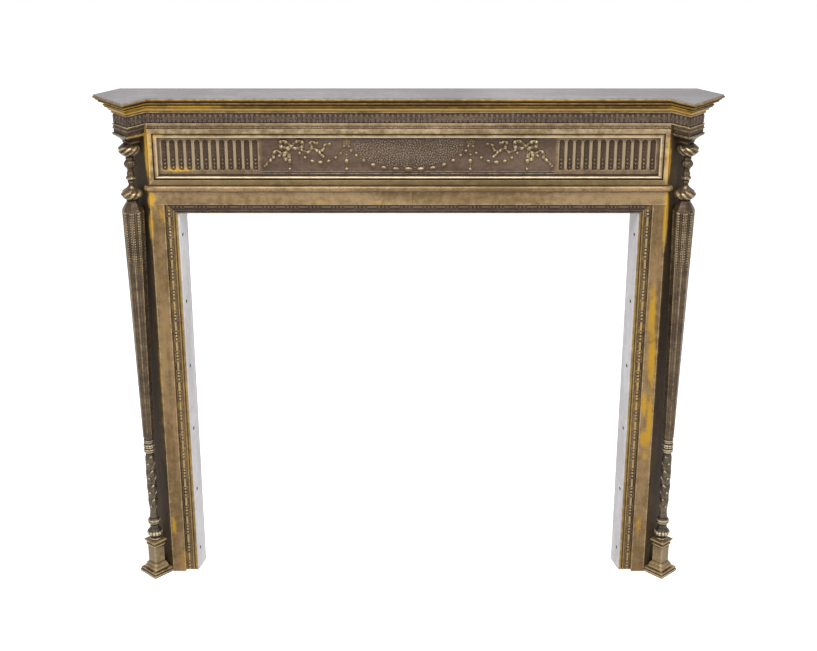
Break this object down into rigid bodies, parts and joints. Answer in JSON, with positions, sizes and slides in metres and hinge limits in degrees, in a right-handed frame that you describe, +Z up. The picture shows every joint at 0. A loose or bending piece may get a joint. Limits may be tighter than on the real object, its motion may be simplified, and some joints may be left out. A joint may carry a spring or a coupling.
{
  "type": "fireplace surround",
  "caption": "Brass fireplace surround: shelf on a carved, fluted entablature with canted corners, two legs with carved strips, and slender free colonnettes.",
  "frame": {"origin": "on the floor, in the middle of the width and of the depth", "axes": "+X along the wall to the right as seen from the room, +Y into the wall, +Z up; the room is towards -Y and the back lies in the plane Y = 0.065"},
  "size_m": [1.4, 0.13, 1.22],
  "materials": {
    "brass_flat": "aged brass with a thin brown patina",
    "brass_dark": "dark brown patina in the carving",
    "bronze_column": "dark olive-brown patina",
    "steel_sheet": "dull brushed grey"
  },
  "bodies": {
    "root": {"shelf_sheet": "steel_sheet", "mantel_shelf": "brass_flat", "cornice_moulding": "brass_flat", "leaf_band": "brass_dark", "frame_top_left": "brass_flat", "frame_top_middle": "brass_flat", "frame_top_right": "brass_flat", "frame_bottom_left": "brass_flat", "frame_bottom_middle": "brass_flat", "frame_bottom_right": "brass_flat", "frame_side_left": "brass_flat", "frame_side_right": "brass_flat", "fluted_panel_left": "brass_flat", "fluted_panel_right": "brass_flat", "swag_panel": "brass_dark", "torus_moulding": "brass_flat", "lintel_left": "brass_flat", "lintel_right": "brass_flat", "leg_face_left": "brass_flat", "leg_face_right": "brass_flat", "carved_strip_left": "brass_dark", "carved_strip_right": "brass_dark", "carved_strip_top": "brass_dark", "canted_panel_left": "brass_dark", "canted_panel_right": "brass_dark", "return_plate_left": "steel_sheet", "return_plate_right": "steel_sheet", "return_plate_top": "steel_sheet", "corner_block_left": "bronze_column", "corner_block_right": "bronze_column", "capital_left": "bronze_column", "capital_right": "bronze_column", "baluster_left": "bronze_column", "baluster_right": "bronze_column", "shaft_left": "bronze_column", "shaft_right": "bronze_column", "column_foot_left": "bronze_column", "column_foot_right": "bronze_column", "pedestal_left": "bronze_column", "pedestal_right": "bronze_column", "plinth_left": "bronze_column", "plinth_right": "bronze_column"}
  },
  "joints": []
}
